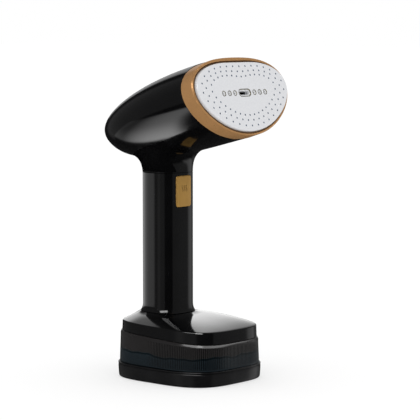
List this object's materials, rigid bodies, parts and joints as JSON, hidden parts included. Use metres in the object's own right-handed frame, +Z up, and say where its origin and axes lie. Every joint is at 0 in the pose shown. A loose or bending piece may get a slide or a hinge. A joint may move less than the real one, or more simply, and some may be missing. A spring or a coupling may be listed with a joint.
{
  "type": "garment steamer",
  "caption": "Hand-held garment steamer: egg-shaped steam plate in a gold ring, tilted black head, squared grip with a trigger, standing on a smoked lift-off water tank.",
  "frame": {"origin": "on the floor, under the middle of the rubber base pad", "axes": "+Z up along the handle, -Y towards the steam plate's side, +X to the right as seen from the front"},
  "size_m": [0.1166, 0.15, 0.2628],
  "materials": {
    "gloss_black": "high gloss black ABS shell",
    "satin_gold": "satin gold anodised ring with a bright turned lip",
    "trigger_gold": "satin gold plated plastic",
    "plate_ceramic": "light grey satin ceramic coating on aluminium",
    "black_rubber": "matte black silicone",
    "smoked_clear": "smoked translucent plastic with fine vertical ribs",
    "dark_plastic": "fine-grained black moulded plastic",
    "white_plastic": "off-white moulded nylon",
    "cast_aluminium": "die-cast aluminium, as cast",
    "steel": "zinc plated or stainless steel",
    "copper": "enamelled copper winding",
    "board_green": "fibreglass circuit board with green solder mask",
    "silicone_hose": "translucent white silicone hose",
    "lead_red": "silicone insulated lead"
  },
  "bodies": {
    "tank": {"base_pad": "black_rubber", "base_cap": "gloss_black", "tank_body": "smoked_clear"},
    "steamer": {"base_cover": "gloss_black", "tank_ceiling": "dark_plastic", "tank_seal": "black_rubber", "suction_tube": "white_plastic", "suction_filter": "white_plastic", "ceiling_screw_1": "steel", "ceiling_screw_2": "steel", "ceiling_screw_3": "steel", "ceiling_screw_4": "steel", "handle_rear": "gloss_black", "handle_front": "gloss_black", "head_shell": "gloss_black", "bezel_ring": "satin_gold", "plate_seal": "black_rubber", "steam_plate": "plate_ceramic", "steam_chamber": "cast_aluminium", "chamber_gasket": "black_rubber", "chamber_cover": "cast_aluminium", "heating_element": "steel", "thermostat": "steel", "thermal_fuse": "white_plastic", "pressure_hose": "silicone_hose", "suction_hose": "silicone_hose", "heater_lead_left": "lead_red", "heater_lead_right": "lead_red", "pump_body": "white_plastic", "pump_end_cap": "white_plastic", "pump_coil": "copper", "pump_mount_lower": "black_rubber", "pump_mount_upper": "black_rubber", "plunger_spring": "steel", "switch_carrier": "dark_plastic", "circuit_board": "board_green", "microswitch": "dark_plastic", "neck_screw_1": "steel", "neck_screw_2": "steel", "foot_screw_1": "steel", "foot_screw_2": "steel", "cord_inlet": "dark_plastic", "trigger_spring": "steel", "release_spring": "steel"},
    "trigger": {"trigger": "trigger_gold"},
    "plunger": {"pump_plunger": "steel"},
    "release": {"release_button": "dark_plastic"}
  },
  "joints": [
    {"name": "tank_lift", "type": "slide", "parent": "tank", "child": "steamer", "axis": [0, 0, 1], "range_m": [0, 0.06]},
    {"name": "trigger_press", "type": "slide", "parent": "steamer", "child": "trigger", "axis": [0, 1, 0], "range_m": [0, 0.002], "stiffness_N_per_m": 900, "springref_m": -0.002, "deforming": ["trigger_spring"]},
    {"name": "plunger_stroke", "type": "slide", "parent": "steamer", "child": "plunger", "axis": [0, 0, 1], "range_m": [0, 0.004], "stiffness_N_per_m": 200, "springref_m": -0.003, "deforming": ["plunger_spring"]},
    {"name": "release_press", "type": "slide", "parent": "steamer", "child": "release", "axis": [0, -1, 0], "range_m": [0, 0.0022], "stiffness_N_per_m": 900, "springref_m": -0.002, "deforming": ["release_spring"]}
  ]
}
